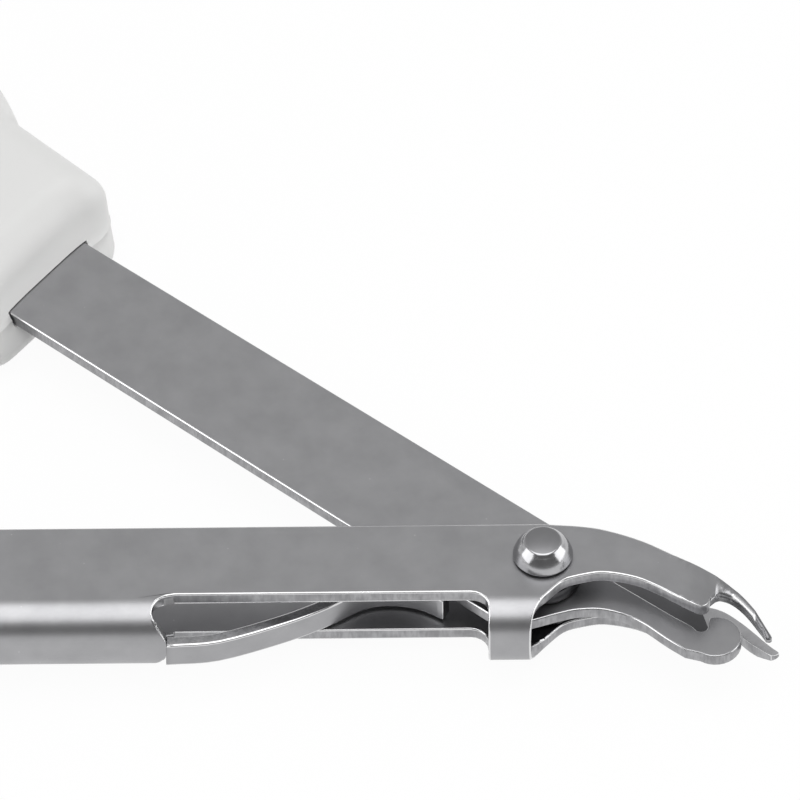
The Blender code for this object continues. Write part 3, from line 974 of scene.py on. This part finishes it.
@dataclass(frozen=True)
class Softbox:
    """An area lamp that faces the tool."""

    name: str
    azimuth: float              # degrees round the tool, 0 in front and 90 to the right
    elevation: float
    distance_mm: float = 520.0
    width_mm: float = 420.0
    height_mm: float = 320.0
    radiance: float = 2.0       # brightness of its face, where 1 renders as white

    def build(self, target: Vector) -> None:
        """Place the lamp so that it faces the target.

        Args:
            target: Place of the target, in metres.
        """
        turn, rise = math.radians(self.azimuth), math.radians(self.elevation)
        away = Vector((math.sin(turn) * math.cos(rise), -math.cos(turn) * math.cos(rise), math.sin(rise)))
        lamp = bpy.data.lights.new(self.name, "AREA")
        lamp.shape = "RECTANGLE"
        lamp.size, lamp.size_y = self.width_mm * MM, self.height_mm * MM
        lamp.energy = self.radiance * math.pi * lamp.size * lamp.size_y
        item = bpy.data.objects.new(self.name, lamp)
        item.location = target + away * self.distance_mm * MM
        item.rotation_euler = away.to_track_quat("Z", "Y").to_euler()
        item.visible_camera = False
        bpy.context.scene.collection.objects.link(item)


@dataclass
class Studio:
    """White sweep, soft lamps and the long-lens camera of the photograph."""

    aim_mm: tuple[float, float, float] = (-9.86, 17.0, 4.5)
    elevation: float = 49.0
    roll: float = 0.54
    lens_mm: float = 1500.0
    field_mm: float = 56.1      # width of the frame at the tool
    near_clip: float = 0.01     # metres
    floor_mm: float = 6000.0
    floor_drop_mm: float = 0.02     # the floor lies this far under the tool
    glow_share: float = 0.95    # share of plain white in the floor, where the camera or a reflection sees it
    lamps: tuple[Softbox, ...] = (
        Softbox("overhead", azimuth=0, elevation=77, width_mm=520, height_mm=600, radiance=1.6),
        Softbox("left_front", azimuth=-72, elevation=22),
        Softbox("right_front", azimuth=84, elevation=20),
    )
    # Grey levels of the tent from its bottom (0) to its top (1), behind the tool and on the camera's side.
    back_stops: Stops = ((0.0, 0.85), (0.3, 0.6), (0.6, 0.5), (0.85, 0.62), (1.0, 0.75))
    front_stops: Stops = ((0.0, 0.42), (0.14, 0.22), (0.6, 0.16), (0.78, 0.4), (1.0, 0.8))
    front_to: float = -0.35     # Y of a direction up to which the tent is the camera's side
    back_from: float = 0.15     # Y from which it is the one behind the tool

    def build(self) -> None:
        """Build the floor, the surroundings, the lamps and the camera."""
        self.build_floor()
        self.build_surroundings()
        for lamp in self.lamps:
            lamp.build(Vector(self.aim_mm) * MM)
        self.build_camera()
        bpy.context.scene.view_settings.view_transform = "Standard"

    def build_floor(self) -> None:
        """Lay a white floor that keeps a faint shadow."""
        bm = bmesh.new()
        bmesh.ops.create_grid(bm, x_segments=1, y_segments=1, size=self.floor_mm * MM / 2)
        floor = linked_object(bm, "floor")
        floor.location.z = -self.floor_drop_mm * MM
        material, tree, shader = new_material("white_sweep")
        set_inputs(tree, shader, {"Base Color": linear("#F2F2F2"), "Roughness": 0.9,
                                  "Specular IOR Level": 0.0})
        path = add_node(tree, "LightPath").outputs
        seen = combined(tree, "MAXIMUM", path["Is Camera Ray"], path["Is Glossy Ray"])
        seen = combined(tree, "MAXIMUM", seen, path["Is Transmission Ray"])
        share = combined(tree, "MULTIPLY", seen, self.glow_share)
        glow = add_node(tree, "Emission", {"Color": (1, 1, 1, 1), "Strength": 1.0})
        both = {0: share, 1: shader.outputs["BSDF"], 2: glow.outputs["Emission"]}
        mix = add_node(tree, "MixShader", both)
        tree.links.new(mix.outputs["Shader"], tree.nodes["Material Output"].inputs["Surface"])
        floor.data.materials.append(material)

    def build_surroundings(self) -> None:
        """Surround the tool with a pale tent that is open, and so darker, on the side of the camera."""
        world = bpy.data.worlds.new("light_tent")
        bpy.context.scene.world = world
        world.use_nodes = True
        tree = world.node_tree
        tree.nodes.clear()
        direction = add_node(tree, "TexCoord").outputs["Generated"]
        parts = add_node(tree, "SeparateXYZ", {"Vector": direction}).outputs
        back = ramp(tree, parts["Z"], self.back_stops)
        front = ramp(tree, parts["Z"], self.front_stops)
        links = {"Value": parts["Y"], "From Min": self.front_to, "From Max": self.back_from}
        side = add_node(tree, "MapRange", links)
        wall = mixed(tree, side.outputs["Result"], front, back)
        tent = add_node(tree, "Background", {"Color": wall, "Strength": 1.0})
        end = add_node(tree, "OutputWorld")
        tree.links.new(tent.outputs["Background"], end.inputs["Surface"])

    def build_camera(self) -> None:
        """Aim a long lens down at the tool, with the photograph's slight roll."""
        rise, roll = math.radians(self.elevation), math.radians(self.roll)
        back = Vector((0, -math.cos(rise), math.sin(rise)))
        up_level = Vector((0, math.sin(rise), math.cos(rise)))
        side_level = Vector((1, 0, 0))
        side = math.cos(roll) * side_level - math.sin(roll) * up_level
        up = math.sin(roll) * side_level + math.cos(roll) * up_level
        data = bpy.data.cameras.new("camera")
        data.lens = self.lens_mm
        distance = self.field_mm * self.lens_mm / data.sensor_width * MM
        data.clip_start, data.clip_end = self.near_clip, distance * 5
        camera = bpy.data.objects.new("camera", data)
        place = Vector(self.aim_mm) * MM + back * distance
        camera.matrix_world = Matrix((side, up, back)).transposed().to_4x4()
        camera.location = place
        bpy.context.scene.collection.objects.link(camera)
        bpy.context.scene.camera = camera


def steel_pieces() -> list[SheetPiece | Rivet]:
    """List the steel pieces with their finishes.

    Returns:
        The channel, the spring, the lever, both washers and the rivet.
    """
    strip = [
        ColdRolledSteel("cold_rolled_strip").build(),
        ShearedSteel("sheared_rim").build(),
        BurnishedSteel("burnished_corner").build(),
        # Painted light: a brighter steel for the far tine's inner face.
        BurnishedSteel("painted_light_tine", base_hex="#C4C4C6", roughness=0.3).build(),
        # Painted highlight: a near-white steel for the middle of the near tine's outer corner.
        BurnishedSteel("bevel_painted_highlight", base_hex="#F2F2F2", roughness=0.36).build(),
        # A darker steel for the two ends of the near tine's outer corner.
        ShearedSteel("darker_point", smooth_hex="#808082", torn_hex="#6C6C6E", streak_mm=0.12).build(),
        # Painted shade: a dark copy of the strip for the far wall's inner face inside the arch.
        ColdRolledSteel("painted_shade_strip", dark_hex="#626264", light_hex="#6A6A6C").build(),
    ]
    spring_rim = ShearedSteel("spring_rim", smooth_hex="#C2C2C4", torn_hex="#A0A0A2").build()
    spring_strip = [strip[0], spring_rim] + strip[2:]
    # The washers are guessed, and painted dark as shade so that they don't stand out in the arch.
    dark = ShearedSteel("shade_dark_washer", smooth_hex="#4E4E50", torn_hex="#464648").build()
    washer = [dark] * len(strip)
    slit = (-26.0, 1.9)
    return [
        SheetPiece("frame_channel", "frame", strip, bend_top_mm=-3.53, slit_mm=slit),
        SheetPiece("leaf_spring", "spring", spring_strip, on_edge=True, corner_mm=0.07, slit_mm=slit,
                   root_grows_mm=0.33),
        SheetPiece("anvil_lever", "lever", strip, corner_mm=0.05, corner_steps=1),
        SheetPiece("upper_spacer_washer", "frame", washer, corner_mm=0.03, corner_steps=1),
        SheetPiece("lower_spacer_washer", "frame", washer, corner_mm=0.03, corner_steps=1),
        Rivet([ColdRolledSteel("rivet_flat", dark_hex="#8C8C8E", light_hex="#949496").build(),
               BurnishedSteel("tumbled_rivet", base_hex="#B4B4B6", roughness=0.17).build()]),
    ]


def main() -> None:
    """Build the tool's looks and the studio round it."""
    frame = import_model()
    steel = steel_pieces()
    abs_skin = MouldedAbs("white_abs").build()
    lever_mouth = [(-4.37, -0.6), (4.28, -0.6), (4.28, 0.6), (-4.37, 0.6)]
    handles = [
        Handle("upper_handle", "lever", abs_skin, lever_mouth, turn=-39.35),
        Handle("lower_handle", "frame", abs_skin, channel_mouth(gap=0.25), front_mm=45.0, shift_mm=-1.48),
    ]
    for piece in steel + handles:
        made = piece.build(frame)
        LOG.info("%s: %d faces", made.name, len(made.data.polygons))
    Studio().build()


if __name__ == "__main__":
    logging.basicConfig(level=logging.INFO)
    main()
